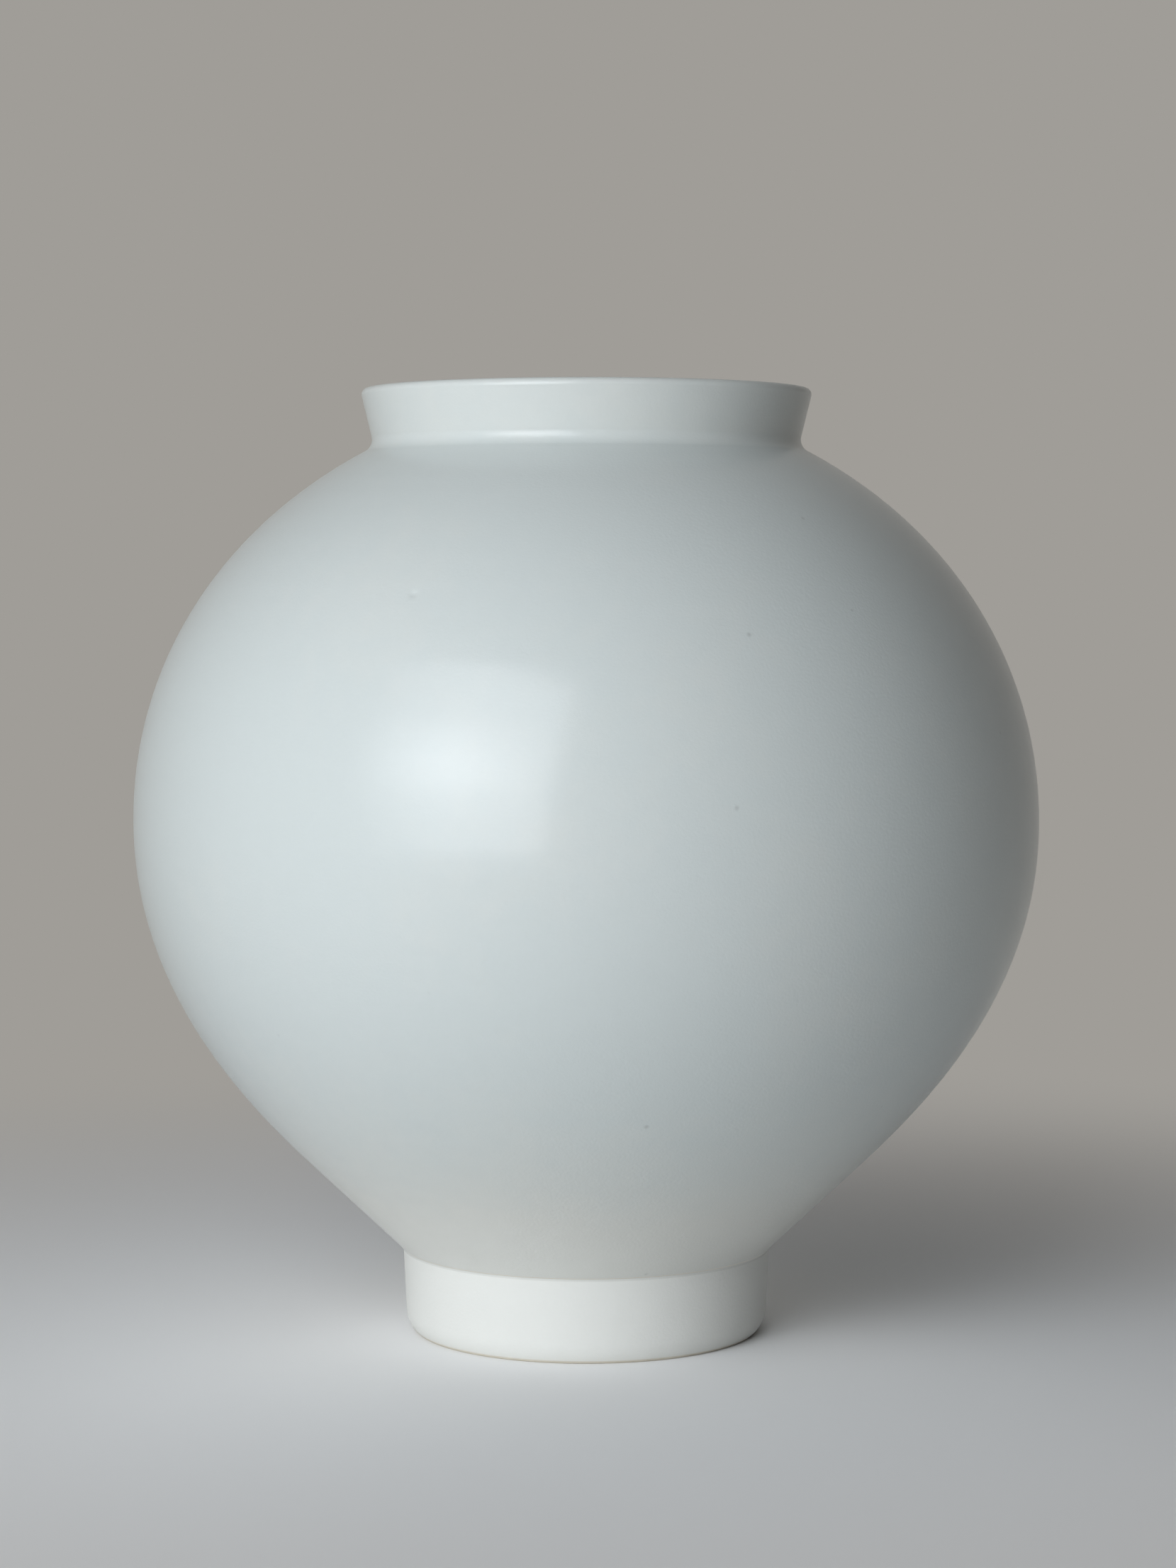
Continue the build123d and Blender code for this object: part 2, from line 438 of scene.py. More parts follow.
def upper_wall(sizes, rim_inset, neck_inset, end_radius):
    """Control points of the upper bowl's wall moved in by one inset at the rim and another at the neck, up
    to a radius on the shoulder's line. The middle two lie on the upright at the belly and on the shoulder's
    line, each a share of the way to where these cross."""
    neck, up_shoulder, up_collar = neck_lines(sizes)
    outwards = np.array([up_shoulder[1], -up_shoulder[0]])
    start = neck - outwards * neck_inset
    rim = point(BELLY_RADIUS - rim_inset, UPPER_RIM)
    corner = start + up_shoulder * (rim[0] - start[0]) / up_shoulder[0]
    end = start + up_shoulder * (end_radius - start[0]) / up_shoulder[0]
    upright = rim + (corner - rim) * sizes.shoulder_fullness
    sloping = end + (corner - end) * sizes.neck_fullness
    return rim, upright, sloping, end


def seen_at(stage, sizes, pixel):
    """Point of the jar's outside that the camera sees at a pixel of the reference view: the first of many
    points along the pixel's ray whose distance from the axis is no more than the wall's radius at its
    level."""
    across = (pixel[0] - VIEW_WIDTH / 2) / stage.focal_pixels
    up = (VIEW_HEIGHT / 2 - pixel[1]) / stage.focal_pixels
    lean = stage.camera_pitch
    direction = np.array([across, cos(lean) + up * sin(lean), up * cos(lean) - sin(lean)])
    eye = np.array([stage.camera_side, -stage.camera_distance, stage.camera_height])
    far = np.linspace(stage.camera_distance - BELLY_RADIUS, stage.camera_distance, RAY_STEPS)[:, None]
    ray = eye + direction * far
    foot, top, lower = lower_wall(sizes, 0)
    upper = upper_wall(sizes, 0, 0, SEAT_RADIUS)
    wall = np.concatenate([foot[None], swelling(lower, sizes.row), swelling(upper, sizes.row)])
    hit = np.hypot(ray[:, 0], ray[:, 1]) <= np.interp(ray[:, 2], wall[:, 1], wall[:, 0])
    if not hit.any():
        raise RuntimeError(f"the jar isn't seen at pixel {pixel}")
    return ray[hit.argmax()]


def drawn_in(sizes, radius, level, turn):
    """Radius as the potter's hands left it. A lopsided and an oval share, whose directions drift with the
    level, draw it in by up to hand_sway at the belly. At the table the foot stays true."""
    rise = level / RIM_LEVEL
    leaning = (1 + np.cos(turn - sizes.lopsided_drift * rise)) / 2
    oval = (1 + np.cos(2 * turn + sizes.oval_drift * rise)) / 2
    settled = 1 - (1 - np.clip(level / BOWL_BASE, 0, 1)) ** 2
    sway = sizes.lopsided * leaning + (1 - sizes.lopsided) * oval
    return radius * (1 - sizes.hand_sway / BELLY_RADIUS * settled * sway)


def glaze_depths(look, rows):
    """Depth of the glaze on each row, lowered near the foot's crease by a bell curve of the distance. Right
    at the crease the glaze drains thin. Over the wider reach, the leaner, lighter, warmer colour that this
    gives the cone is painted warm bounce light.
    """
    from_foot = np.hypot(rows[:, 0] - FOOT_RADIUS, rows[:, 1] - BOWL_BASE)
    # Thin glaze at the crease, and painted warm bounce light further up the cone
    drain_and_warm_light = 1 - look.drain_and_warm_light_share * np.exp(-((from_foot / look.drain_and_warm_light_reach) ** 2))
    return rows[:, 2] * drain_and_warm_light


def woven(grid, depth, poles):
    """Vertices of a grid of rows and columns that closes round the axis, their glaze depths, and its faces.
    With poles, the first and the last row are one vertex each, with a fan of triangles. Otherwise the last
    row meets the first."""
    columns = grid.shape[1]
    if poles:
        inner = grid[1:-1]
        vertices = np.concatenate([inner.reshape(-1, 3), grid[0, :1], grid[-1, :1]])
        depths = np.concatenate([depth[1:-1].ravel(), depth[0, :1], depth[-1, :1]])
        index = np.arange(inner.shape[0] * columns).reshape(-1, columns)
        lower, upper = index[:-1], index[1:]
    else:
        vertices = grid.reshape(-1, 3)
        depths = depth.ravel()
        index = np.arange(len(vertices)).reshape(-1, columns)
        lower, upper = index, np.roll(index, -1, axis=0)
    beside = np.roll(lower, -1, axis=1)
    above = np.roll(upper, -1, axis=1)
    faces = np.stack([lower, beside, above, upper], axis=-1).reshape(-1, 4).tolist()
    if poles:
        first = np.full(columns, len(vertices) - 2)
        last = np.full(columns, len(vertices) - 1)
        faces += np.stack([first, np.roll(index[0], -1), index[0]], axis=-1).tolist()
        faces += np.stack([last, index[-1], np.roll(index[-1], -1)], axis=-1).tolist()
    return vertices, depths, faces


def turned(name, rows, context, turns=None, pit=None):
    """Mesh of a section carried round the jar's axis: column k of row j stands at the row's radius and
    level, turned by the column's angle. Rows first move along the section's normal, by ridges that climb as
    a helix and by the pit's bell curve, and then in by the potter's hands. A section that starts and ends
    on the axis has a pole there, and any other closes on itself."""
    sizes = context.scene.jar_sizes
    if turns is None:
        turns = np.linspace(0, 2 * pi, sizes.segments, endpoint=False)
    poles = max(rows[0, 0], rows[-1, 0]) < ON_AXIS
    section = rows[:, :2]
    if poles:
        tangent = np.gradient(section, axis=0)
    else:
        tangent = np.roll(section, -1, axis=0) - np.roll(section, 1, axis=0)
    tangent /= np.linalg.norm(tangent, axis=1)[:, None]
    climb = 2 * pi * travelled(section)[:, None] / sizes.ridge_pitch
    weak = (1 - np.sin(sizes.ridge_waves * turns + sizes.ridge_drift * climb)) * sizes.ridge_unevenness
    proud = rows[:, 3, None] * np.sin(climb - turns) * (1 - weak)
    if pit is not None:
        radius = section[:, 0, None]
        away = (radius * np.cos(turns) - pit[0]) ** 2
        away = away + (radius * np.sin(turns) - pit[1]) ** 2 + (section[:, 1, None] - pit[2]) ** 2
        proud = proud - sizes.pit_depth * np.exp(-away / sizes.pit_reach**2)
    level = section[:, 1, None] - tangent[:, 0, None] * proud
    radius = drawn_in(sizes, section[:, 0, None] + tangent[:, 1, None] * proud, level, turns)
    grid = np.stack([radius * np.cos(turns), radius * np.sin(turns), level], axis=-1)
    depth = np.repeat(glaze_depths(context.scene.glaze_look, rows)[:, None], len(turns), axis=1)
    vertices, depths, faces = woven(grid, depth, poles)
    mesh = bpy.data.meshes.new(name)
    mesh.from_pydata(vertices.tolist(), [], faces)
    if mesh.validate():
        raise RuntimeError(f"the mesh of {name} has faces that don't fit together")
    mesh.shade_smooth()
    mesh.set_sharp_from_angle(angle=sizes.sharp_angle)
    mesh.attributes.new("glaze_depth", "FLOAT", "POINT").data.foreach_set("value", depths.astype(np.float32))
    return mesh


def placed(context, node, mesh):
    """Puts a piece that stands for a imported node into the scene, with its glaze, on the jar's body."""
    piece = bpy.data.objects.new(node + "_glazed", mesh)
    context.scene.collection.objects.link(piece)
    mesh.materials.append(satin_glaze(context))
    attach(piece, "root")
    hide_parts(node)


def add(tree, kind, inputs=None, **settings):
    """Adds a node. Settings are its own values, and inputs are constants or other nodes' outputs."""
    node = tree.nodes.new(kind)
    for name, value in settings.items():
        setattr(node, name, value)
    for name, value in (inputs or {}).items():
        if isinstance(value, bpy.types.NodeSocket):
            tree.links.new(value, node.inputs[name])
        else:
            node.inputs[name].default_value = value
    return node


def calculated(tree, operation, *values, clamp=False):
    """Output of a Math node on constants or other outputs."""
    node = add(tree, "ShaderNodeMath", dict(enumerate(values)), operation=operation, use_clamp=clamp)
    return node.outputs[0]


def mapped(tree, value, low, high, first, last, smooth=False):
    """Output that goes from first to last as value goes from low to high."""
    node = add(
        tree,
        "ShaderNodeMapRange",
        {"Value": value, "From Min": low, "From Max": high, "To Min": first, "To Max": last},
        interpolation_type="SMOOTHSTEP" if smooth else "LINEAR",
    )
    return node.outputs["Result"]


def clouds(tree, place, size, detail):
    """Output of soft noise whose patches are about this wide, from 0 to 1."""
    node = add(tree, "ShaderNodeTexNoise", {"Vector": place, "Scale": 1 / size, "Detail": detail})
    return node.outputs["Fac"]


def mixed(tree, amount, first, second):
    """Colour output between two colours, each a constant or an output."""
    node = add(tree, "ShaderNodeMix", data_type="RGBA")
    sockets = (("Factor_Float", amount), ("A_Color", first), ("B_Color", second))
    for identifier, value in sockets:
        socket = next(each for each in node.inputs if each.identifier == identifier)
        if isinstance(value, bpy.types.NodeSocket):
            tree.links.new(value, socket)
        else:
            socket.default_value = value
    return next(each for each in node.outputs if each.identifier == "Result_Color")


def opaque(rgb):
    """A colour property with full alpha."""
    return (*rgb, 1.0)


def speckled(tree, place, context):
    """Output from 0 to 1 that marks iron specks: cones round the middles of scattered cells, of chance
    sizes, and round the points that the named pixels see."""
    look = context.scene.glaze_look
    cells = add(tree, "ShaderNodeTexVoronoi", {"Vector": place, "Scale": 1 / look.speck_spacing})
    away = calculated(tree, "MULTIPLY", cells.outputs["Distance"], look.speck_spacing)
    chance = add(tree, "ShaderNodeSeparateColor", {"Color": cells.outputs["Color"]})
    size = mapped(tree, chance.outputs["Red"], 0, 1, look.speck_radius * look.speck_least, look.speck_radius)
    specks = calculated(tree, "SUBTRACT", 1.0, calculated(tree, "DIVIDE", away, size), clamp=True)
    for pixel in SPECK_PIXELS:
        centre = seen_at(context.scene.stage_look, context.scene.jar_sizes, pixel)
        apart = add(tree, "ShaderNodeVectorMath", {0: place, 1: tuple(centre)}, operation="DISTANCE")
        spot = mapped(tree, apart.outputs["Value"], look.speck_radius, 0, 0, 1)
        specks = calculated(tree, "MAXIMUM", specks, spot)
    return specks


def satin_glaze(context):
    """Satin white glaze over pale clay. The glaze_depth attribute runs from 0, bare clay, over a thin coat
    to 1, the usual coat, and on to the deepest. Soft noise varies it, and it sets colour, roughness and
    gloss. Iron specks stain it, and dimples and the clay's grain give it a skin."""
    if "satin_glaze" in bpy.data.materials:
        return bpy.data.materials["satin_glaze"]
    look = context.scene.glaze_look
    material = bpy.data.materials.new("satin_glaze")
    material.use_nodes = True
    tree = material.node_tree
    tree.nodes.clear()
    place = add(tree, "ShaderNodeTexCoord").outputs["Object"]
    stored = add(tree, "ShaderNodeAttribute", attribute_name="glaze_depth").outputs["Fac"]

    drift = calculated(tree, "SUBTRACT", clouds(tree, place, look.drift_size, SOFT_DETAIL), 0.5)
    mottle = calculated(tree, "SUBTRACT", clouds(tree, place, look.mottle_size, FINE_DETAIL), 0.5)
    broad = calculated(tree, "MULTIPLY", drift, look.drift_gain)
    small = calculated(tree, "MULTIPLY", mottle, look.mottle_gain)
    coat_share = mapped(tree, stored, BARE, THIN, 0, 1)
    uneven = calculated(tree, "MULTIPLY", calculated(tree, "ADD", broad, small), coat_share)
    depth = calculated(tree, "ADD", stored, uneven)

    # The ramp runs up to the deepest glaze, and thin glaze keeps its colour for a span round its depth
    ramp = add(tree, "ShaderNodeValToRGB", {"Fac": calculated(tree, "DIVIDE", depth, DEEP)})
    stops = (
        (look.clay_span, look.clay),
        (THIN - look.thin_span, look.thin),
        (THIN + look.thin_span, look.thin),
        (LEAN, look.lean),
        (GLAZED, look.coat),
        (DEEP, look.deep),
    )
    while len(ramp.color_ramp.elements) < len(stops):
        ramp.color_ramp.elements.new(1.0)
    for element, (stop, rgb) in zip(ramp.color_ramp.elements, stops):
        element.position = stop / DEEP
        element.color = opaque(rgb)
    stain = mapped(tree, speckled(tree, place, context), 0, 1, 0, look.speck_cover, smooth=True)
    stained = mixed(tree, stain, ramp.outputs["Color"], opaque(look.iron))

    bare = mapped(tree, depth, BARE, THIN, 1, 0)
    skin = calculated(tree, "MULTIPLY", clouds(tree, place, look.peel_size, SOFT_DETAIL), look.peel_depth)
    grain = calculated(tree, "MULTIPLY", clouds(tree, place, look.grit_size, FINE_DETAIL), look.grit_depth)
    height = calculated(tree, "ADD", skin, calculated(tree, "MULTIPLY", grain, bare))
    bump = add(tree, "ShaderNodeBump", {"Height": height, "Strength": 1.0, "Distance": 1.0})

    roughness = mapped(tree, depth, BARE, GLAZED, look.clay_roughness, look.glaze_roughness)
    gloss = mapped(tree, depth, THIN / 2, GLAZED, 0, look.gloss)
    shader = add(
        tree,
        "ShaderNodeBsdfPrincipled",
        {
            "Base Color": stained,
            "Roughness": roughness,
            "IOR": GLAZE_IOR,
            "Specular IOR Level": look.sheen,
            "Coat Weight": gloss,
            "Coat Roughness": look.gloss_roughness,
            "Normal": bump.outputs["Normal"],
        },
    )
    add(tree, "ShaderNodeOutputMaterial", {"Surface": shader.outputs["BSDF"]})
    return material


class MOONJAR_OT_foot_ring(bpy.types.Operator):
    """Turns the foot ring, rolled in to the table and wiped bare where it stands"""

    bl_idname = "moonjar.foot_ring"
    bl_label = "Foot ring"

    def execute(self, context):
        sizes = context.scene.jar_sizes
        base_radius = FOOT_RADIUS - sizes.foot_flare
        inner_base = base_radius - sizes.foot_wall
        taper = sizes.foot_flare / RING_TOP
        roll_top = point(base_radius + taper * sizes.foot_roll_height, TABLE + sizes.foot_roll_height)
        roll_foot = point(base_radius - sizes.foot_roll, TABLE)
        bevel_foot = point(inner_base + sizes.foot_inner_bevel, TABLE)
        bevel_top = point(inner_base + taper * sizes.foot_inner_bevel, TABLE + sizes.foot_inner_bevel)
        ring_edge = point(FOOT_RADIUS, RING_TOP)
        ring_inner = point(FOOT_RADIUS - sizes.foot_wall, RING_TOP)

        roll = arc(roll_top, unit(np.array([-taper, -1])), roll_foot, ROLL_ROWS)[::-1]
        roll_glaze = THIN * np.clip((roll[:, 1] - TABLE) / sizes.foot_wiped, 0, 1) ** 2
        outer_bend = rounded(bevel_foot, roll_foot, roll[1], sizes.foot_softness)
        inner_bend = rounded(bevel_top, bevel_foot, roll_foot, sizes.foot_softness)
        top_bend = rounded(ring_inner, bevel_top, bevel_foot, sizes.foot_softness)
        rows = joined(
            coated(inner_bend, BARE),
            coated(straight(inner_bend[-1], outer_bend[0], sizes.fine_row), BARE),
            coated(outer_bend, BARE),
            coated(roll[1:], roll_glaze[1:]),
            coated(straight(roll_top, ring_edge, sizes.row), THIN),
            coated(straight(ring_edge, ring_inner, sizes.row), BARE),
            coated(straight(ring_inner, top_bend[0], sizes.row), THIN),
            coated(top_bend, BARE),
            coated(straight(top_bend[-1], inner_bend[0], sizes.fine_row), BARE),
        )[:-1]
        placed(context, "foot_ring", turned("foot_ring", rows, context))
        return {"FINISHED"}


class MOONJAR_OT_lower_bowl(bpy.types.Operator):
    """Turns the lower bowl: floor, cone and swelling wall, with a groove round its rim"""

    bl_idname = "moonjar.lower_bowl"
    bl_label = "Lower bowl"

    def execute(self, context):
        sizes = context.scene.jar_sizes
        foot, top, outside = lower_wall(sizes, 0)
        inner_foot, inner_top, inside = lower_wall(sizes, sizes.bowl_wall)
        floor_level = BOWL_BASE + sizes.floor_thickness
        floor_middle = point(0, floor_level)
        floor_edge = point(inner_foot[0] + (floor_level - inner_foot[1]) * tan(sizes.cone_angle), floor_level)
        bend = rounded(inner_top, floor_edge, floor_middle, sizes.floor_round)
        recess_edge = point(FOOT_RADIUS - sizes.foot_wall, BOWL_BASE)
        wall = [straight(foot, top, sizes.row), swelling(outside, sizes.row)[1:]]
        hollow = [
            swelling(inside, sizes.inner_row)[::-1],
            straight(inner_top, bend[0], sizes.inner_row)[1:],
            bend[1:],
            straight(bend[-1], floor_middle, sizes.inner_row)[1:],
        ]
        rows = joined(
            coated(straight(point(0, BOWL_BASE), recess_edge, sizes.inner_row), THIN, sizes.trim_ridge),
            coated(straight(recess_edge, foot, sizes.inner_row), BARE),
            coated(np.concatenate(wall), GLAZED, sizes.outer_ridge),
            coated(rim_joint(sizes, LOWER_RIM)[::-1], BARE),
            coated(np.concatenate(hollow), GLAZED, sizes.inner_ridge),
        )
        placed(context, "lower_bowl", turned("lower_bowl", rows, context))
        return {"FINISHED"}


class MOONJAR_OT_upper_bowl(bpy.types.Operator):
    """Turns the upper bowl: a tongue round its rim, the shoulder with one pit, and the collar's seat"""

    bl_idname = "moonjar.upper_bowl"
    bl_label = "Upper bowl"

    def execute(self, context):
        sizes = context.scene.jar_sizes
        mouth_radius = mouth_corners(sizes)[1]
        outside = upper_wall(sizes, 0, 0, SEAT_RADIUS)
        inside = upper_wall(sizes, sizes.bowl_wall, sizes.shoulder_wall, mouth_radius)
        pit = seen_at(context.scene.stage_look, sizes, PIT_PIXEL)
        near = sizes.pit_reach * np.linspace(-PIT_SPAN, PIT_SPAN, PIT_ROWS)

        # Rows and columns of faces crowd together where the pit is
        shares = np.linspace(0, 1, CURVE_STEPS)
        coarse = swell(outside, shares)
        distance = travelled(coarse)
        at_pit = np.interp(pit[2], coarse[:, 1], distance)
        distances = crowded(graded(distance[-1], sizes.row) * distance[-1], at_pit + near)
        wall = swell(outside, np.interp(distances, distance, shares))
        direction = atan2(pit[1], pit[0]) % (2 * pi)
        turns = np.linspace(0, 2 * pi, sizes.segments, endpoint=False)
        turns = crowded(turns, direction + near / np.hypot(pit[0], pit[1]))

        seat = point(SEAT_RADIUS, SEAT_LEVEL)
        mouth = point(mouth_radius, SEAT_LEVEL)
        bend = rounded(mouth, inside[-1], inside[-2], sizes.mouth_round)
        hollow = swelling(inside, sizes.inner_row)[::-1]
        hollow = hollow[hollow[:, 0] > bend[-1, 0]]
        rows = joined(
            coated(rim_joint(sizes, UPPER_RIM), BARE),
            coated(wall, GLAZED, sizes.outer_ridge),
            coated(straight(seat, mouth, sizes.inner_row), BARE),
            coated(straight(mouth, bend[0], sizes.fine_row), GLAZED),
            coated(bend, GLAZED),
            coated(hollow, GLAZED, sizes.inner_ridge),
        )[:-1]
        placed(context, "upper_bowl", turned("upper_bowl", rows, context, turns, pit))
        return {"FINISHED"}


class MOONJAR_OT_mouth_collar(bpy.types.Operator):
    """Turns the flared collar with its rounded lip"""

    bl_idname = "moonjar.mouth_collar"
    bl_label = "Mouth collar"

    def execute(self, context):
        sizes = context.scene.jar_sizes
        collar_foot, mouth_radius = mouth_corners(sizes)
        corners = [
            collar_foot,
            point(sizes.rim_radius, RIM_LEVEL),
            point(sizes.rim_radius - sizes.rim_wall, RIM_LEVEL),
            point(mouth_radius, COLLAR_SEAT),
        ]
        radii = [0, sizes.lip_round, sizes.lip_inner_round, 0]
        glazes = [COLLAR, COLLAR, GLAZED, BARE]
        rows = ring_section(corners, radii, glazes, sizes.fine_row)
        placed(context, "mouth_collar", turned("mouth_collar", rows, context))
        return {"FINISHED"}


class MOONJAR_OT_slips(bpy.types.Operator):
    """Turns the layers of luting slip: in the belly's joint, under the collar, and above the foot ring"""

    bl_idname = "moonjar.slips"
    bl_label = "Luting slips"

    def execute(self, context):
        sizes = context.scene.jar_sizes
        corners = rim_joint(sizes, LOWER_RIM) + rim_joint(sizes, UPPER_RIM)[::-1]
        glazes = [BARE] * 4 + [GLAZED] + [BARE] * 4 + [GLAZED]
        belly = ring_section(corners, [0] * len(corners), glazes, sizes.row)

        neck_middle, up_shoulder, up_collar = neck_lines(sizes)
        collar_foot, mouth_radius = mouth_corners(sizes)
        cove_foot = point(SEAT_RADIUS, SEAT_LEVEL)
        crease_foot = neck_middle - up_shoulder * sizes.neck_crease
        crease_top = neck_middle + up_collar * sizes.neck_crease
        crease = arc(crease_foot, up_shoulder, crease_top, CREASE_ROWS)
        inner_foot = point(mouth_radius, SEAT_LEVEL)
        inner_top = point(mouth_radius, COLLAR_SEAT)
        neck = joined(
            coated(straight(inner_foot, cove_foot, sizes.row), BARE),
            coated(straight(cove_foot, crease_foot, sizes.fine_row), GLAZED),
            coated(crease, np.linspace(GLAZED, COLLAR, len(crease))),
            coated(straight(crease_top, collar_foot, sizes.row), BARE),
            coated(straight(collar_foot, inner_top, sizes.row), BARE),
            coated(straight(inner_top, inner_foot, sizes.fine_row), GLAZED),
        )[:-1]

        ring_edge = point(FOOT_RADIUS, RING_TOP)
        bowl_edge = point(FOOT_RADIUS, BOWL_BASE)
        fill_top = bowl_edge + np.array([sin(sizes.cone_angle), cos(sizes.cone_angle)]) * sizes.crease_fill
        inner_ring = point(FOOT_RADIUS - sizes.foot_wall, RING_TOP)
        inner_bowl = point(FOOT_RADIUS - sizes.foot_wall, BOWL_BASE)
        foot = joined(
            coated(straight(inner_ring, ring_edge, sizes.row), BARE),
            coated(arc(ring_edge, UP, fill_top, BEND_ROWS), GLAZED),
            coated(straight(fill_top, bowl_edge, sizes.fine_row), BARE),
            coated(straight(bowl_edge, inner_bowl, sizes.row), BARE),
            coated(straight(inner_bowl, inner_ring, sizes.fine_row), THIN),
        )[:-1]

        for node, rows in (("belly_slip", belly), ("neck_slip", neck), ("foot_slip", foot)):
            placed(context, node, turned(node, rows, context))
        return {"FINISHED"}


def sees_backdrop(tree):
    """Output that is 1 for rays that see the backdrop: from the camera, in gloss and through glass."""
    path = add(tree, "ShaderNodeLightPath")
    seen = calculated(tree, "MAXIMUM", path.outputs["Is Camera Ray"], path.outputs["Is Glossy Ray"])
    return calculated(tree, "MAXIMUM", seen, path.outputs["Is Transmission Ray"])


def floor_finish(stage):
    """Plain matt floor that passes into the backdrop with distance, for rays that see the backdrop. It is
    clear from below, and in a patch that the foot covers, so that the underside can be seen."""
    material = bpy.data.materials.new("floor")
    material.use_nodes = True
    tree = material.node_tree
    tree.nodes.clear()
    place = add(tree, "ShaderNodeTexCoord").outputs["Object"]
    away = add(tree, "ShaderNodeVectorMath", {0: place}, operation="LENGTH").outputs["Value"]
    fade = mapped(tree, away, stage.floor_end, stage.backdrop_start, 0, 1, smooth=True)
    fade = calculated(tree, "MULTIPLY", fade, sees_backdrop(tree))
    matt = add(tree, "ShaderNodeBsdfDiffuse", {"Color": opaque(stage.floor)})
    glow = add(tree, "ShaderNodeEmission", {"Color": opaque(stage.backdrop), "Strength": 1.0})
    blend = add(tree, "ShaderNodeMixShader", {0: fade, 1: matt.outputs[0], 2: glow.outputs[0]})
    below = add(tree, "ShaderNodeNewGeometry").outputs["Backfacing"]
    clear = add(tree, "ShaderNodeBsdfTransparent")
    covered = calculated(tree, "LESS_THAN", away, FOOT_RADIUS * stage.clear_share)
    open_floor = calculated(tree, "MAXIMUM", below, covered)
    one_sided = add(tree, "ShaderNodeMixShader", {0: open_floor, 1: blend.outputs[0], 2: clear.outputs[0]})
    add(tree, "ShaderNodeOutputMaterial", {"Surface": one_sided.outputs[0]})
    return material


def soft_edge(lamp, edge, peak, level):
    """Makes an area lamp brightest near its middle. Two tents fall from 1 to 0, one across from the middle
    to both edges, and one up and down from a level within a share of the height. The brightness is the
    product of the tents, with a share of edge mixed in that stays full up to the right edge and falls to 0
    at the left one."""
    lamp.use_nodes = True
    tree = lamp.node_tree
    tree.nodes.clear()
    place = add(tree, "ShaderNodeNewGeometry").outputs["Parametric"]
    parts = add(tree, "ShaderNodeSeparateXYZ", {"Vector": place})
    across = calculated(tree, "SUBTRACT", parts.outputs["X"], 0.5)
    upwards = calculated(tree, "SUBTRACT", parts.outputs["Y"], level)
    tent_across = mapped(tree, calculated(tree, "ABSOLUTE", across), 0, 0.5, 1, 0)
    tent_upwards = mapped(tree, calculated(tree, "ABSOLUTE", upwards), 0, 0.5 * peak, 1, 0)
    tents = calculated(tree, "MULTIPLY", tent_across, tent_upwards)
    plateau = mapped(tree, across, -0.5, 0, 0, edge)
    strength = calculated(tree, "ADD", calculated(tree, "MULTIPLY", tents, 1 - edge), plateau)
    glow = add(tree, "ShaderNodeEmission", {"Strength": strength})
    add(tree, "ShaderNodeOutputLight", {"Surface": glow.outputs[0]})


def lay_floor(scene):
    """Lays a wide flat floor just under the foot."""
    stage = scene.stage_look
    half = stage.floor_half
    level = TABLE - stage.floor_drop
    corners = [(-half, -half, level), (half, -half, level), (half, half, level), (-half, half, level)]
    mesh = bpy.data.meshes.new("floor")
    mesh.from_pydata(corners, [], [(0, 1, 2, 3)])
    mesh.materials.append(floor_finish(stage))
    floor = bpy.data.objects.new("floor", mesh)
    scene.collection.objects.link(floor)


def light_world(scene):
    """Shows the backdrop's flat colour to the rays that see it, and lights the rest by an even fill and
    soft lobes. Each lobe rises smoothly from 0 at its spread to its level where it faces its direction."""
    stage = scene.stage_look
    world = bpy.data.worlds.new("backdrop")
    scene.world = world
    world.use_nodes = True
    tree = world.node_tree
    tree.nodes.clear()
    looking = add(tree, "ShaderNodeTexCoord").outputs["Generated"]
    fill = stage.fill_level
    rear = (REAR, stage.rear_level, stage.rear_spread)
    left = (LEFT, stage.left_level, stage.left_spread)
    sky = (SKY, stage.sky_level, stage.sky_spread)
    beneath = (BENEATH, stage.beneath_level, stage.beneath_spread)
    for direction, lobe_level, spread in (rear, left, sky, beneath):
        facing = add(tree, "ShaderNodeVectorMath", {0: looking, 1: direction}, operation="DOT_PRODUCT")
        lobe = mapped(tree, facing.outputs["Value"], cos(spread), 1.0, 0, lobe_level, smooth=True)
        fill = calculated(tree, "ADD", fill, lobe)
    shade = mixed(tree, sees_backdrop(tree), fill, opaque(stage.backdrop))
    light = add(tree, "ShaderNodeBackground", {"Color": shade, "Strength": 1.0})
    add(tree, "ShaderNodeOutputWorld", {"Surface": light.outputs[0]})


def hang_key(scene):
    """Hangs the large soft lamp to the left of the camera, facing the jar's middle."""
    stage = scene.stage_look
    middle = Vector((0, 0, (TABLE + RIM_LEVEL) / 2))
    sideways = cos(stage.key_elevation) * sin(stage.key_azimuth)
    forwards = cos(stage.key_elevation) * cos(stage.key_azimuth)
    towards = Vector((-sideways, -forwards, sin(stage.key_elevation)))
    lamp = bpy.data.lights.new("key", "AREA")
    lamp.shape = "RECTANGLE"
    lamp.size = stage.key_width
    lamp.size_y = stage.key_height
    lamp.energy = stage.key_power
    lamp.color = stage.key_light
    soft_edge(lamp, stage.key_edge, stage.key_peak, stage.key_level)
    key = bpy.data.objects.new("key", lamp)
    key.visible_camera = False
    key.location = middle + towards * stage.key_distance
    key.rotation_euler = (-towards).to_track_quat("-Z", "Y").to_euler()
    scene.collection.objects.link(key)


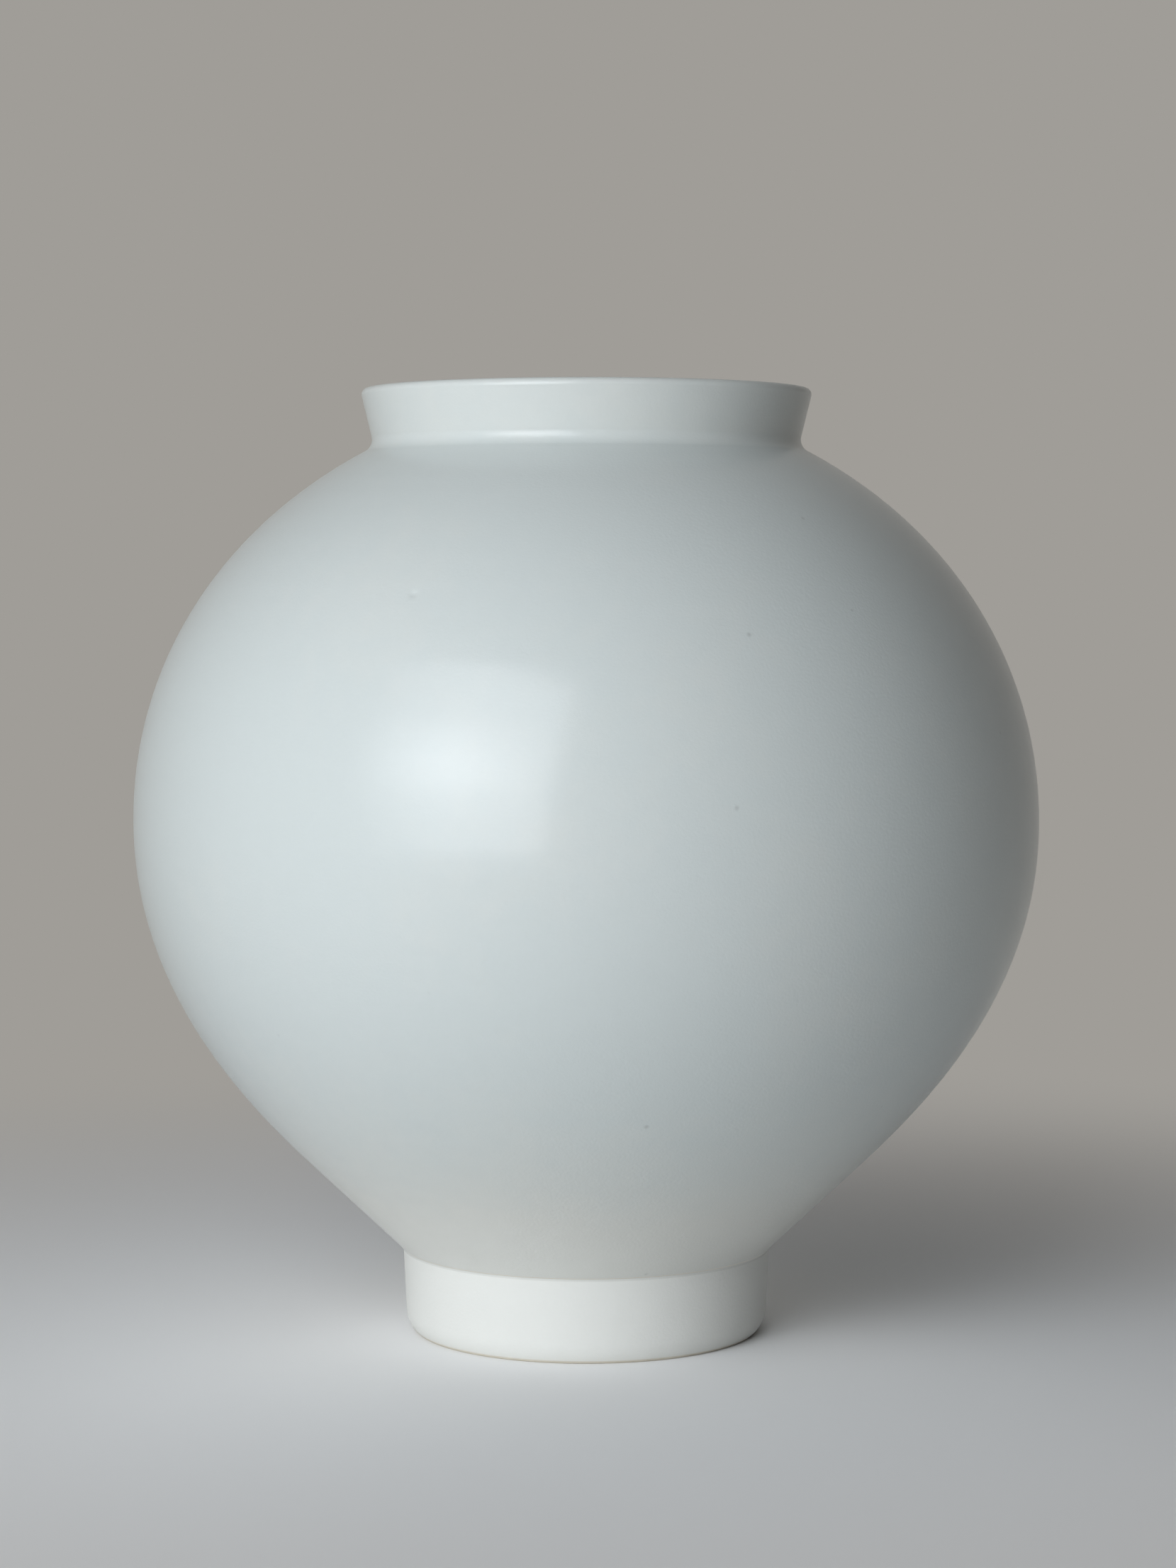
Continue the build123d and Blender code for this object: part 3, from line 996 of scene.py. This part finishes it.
def hang_inner_lamps(scene):
    """Hangs a narrow lamp above the mouth and a small one in the hollow, both hidden from the gloss."""
    stage = scene.stage_look
    shaft = bpy.data.lights.new("shaft", "SPOT")
    shaft.energy = stage.shaft_power
    shaft.spot_size = 2 * atan2(stage.shaft_reach, stage.shaft_height)
    shaft.spot_blend = stage.shaft_blend
    well = bpy.data.lights.new("well", "POINT")
    well.energy = stage.well_power
    above = (0, 0, RIM_LEVEL + stage.shaft_height)
    within = (stage.well_side, 0, UPPER_RIM)
    for inner, place in ((shaft, above), (well, within)):
        inner.shadow_soft_size = stage.lamp_size
        hung = bpy.data.objects.new(inner.name, inner)
        hung.visible_camera = False
        hung.visible_glossy = False
        hung.location = place
        scene.collection.objects.link(hung)


def set_camera(scene):
    """Stands the camera at the reference view, and has colours shown as they are written."""
    stage = scene.stage_look
    lens = bpy.data.cameras.new("camera")
    # This width is taken for the longer side of the picture, which is its height
    lens.sensor_width = FILM_HEIGHT
    lens.lens = FILM_HEIGHT * stage.focal_pixels / VIEW_HEIGHT
    camera = bpy.data.objects.new("camera", lens)
    camera.location = (stage.camera_side, -stage.camera_distance, stage.camera_height)
    camera.rotation_euler = (pi / 2 - stage.camera_pitch, 0, 0)
    scene.collection.objects.link(camera)
    scene.camera = camera
    scene.view_settings.view_transform = "Standard"


class MOONJAR_OT_stage(bpy.types.Operator):
    """Sets out the floor, the backdrop, the soft lamp, two lamps for the inside and the camera"""

    bl_idname = "moonjar.stage"
    bl_label = "Stage"

    def execute(self, context):
        lay_floor(context.scene)
        light_world(context.scene)
        hang_key(context.scene)
        hang_inner_lamps(context.scene)
        set_camera(context.scene)
        return {"FINISHED"}


class MOONJAR_PT_sidebar(bpy.types.Panel):
    """Lists the jar's pieces and what can be changed"""

    bl_idname = "MOONJAR_PT_sidebar"
    bl_label = "Moon jar"
    bl_space_type = "VIEW_3D"
    bl_region_type = "UI"
    bl_category = "Moon jar"

    def draw(self, context):
        layout = self.layout
        for operator in OPERATORS:
            layout.operator(operator.bl_idname)
        for name, group in GROUPS.items():
            box = layout.box()
            box.label(text=group.__name__)
            for field in group.__annotations__:
                box.prop(getattr(context.scene, name), field)


GROUPS = {"jar_sizes": JarSizes, "glaze_look": GlazeLook, "stage_look": StageLook}
OPERATORS = (
    MOONJAR_OT_foot_ring,
    MOONJAR_OT_lower_bowl,
    MOONJAR_OT_upper_bowl,
    MOONJAR_OT_mouth_collar,
    MOONJAR_OT_slips,
    MOONJAR_OT_stage,
)


def register():
    """Registers the groups, operators and panel, and hangs the groups on the scene."""
    for cls in (*GROUPS.values(), *OPERATORS, MOONJAR_PT_sidebar):
        bpy.utils.register_class(cls)
    for name, group in GROUPS.items():
        setattr(bpy.types.Scene, name, PointerProperty(type=group))


def unregister():
    """Takes away what register added."""
    for name in GROUPS:
        delattr(bpy.types.Scene, name)
    for cls in reversed((*GROUPS.values(), *OPERATORS, MOONJAR_PT_sidebar)):
        bpy.utils.unregister_class(cls)


def main():
    register()
    bpy.ops.moonjar.foot_ring()
    bpy.ops.moonjar.lower_bowl()
    bpy.ops.moonjar.upper_bowl()
    bpy.ops.moonjar.mouth_collar()
    bpy.ops.moonjar.slips()
    bpy.ops.moonjar.stage()


if __name__ == "__main__":
    main()
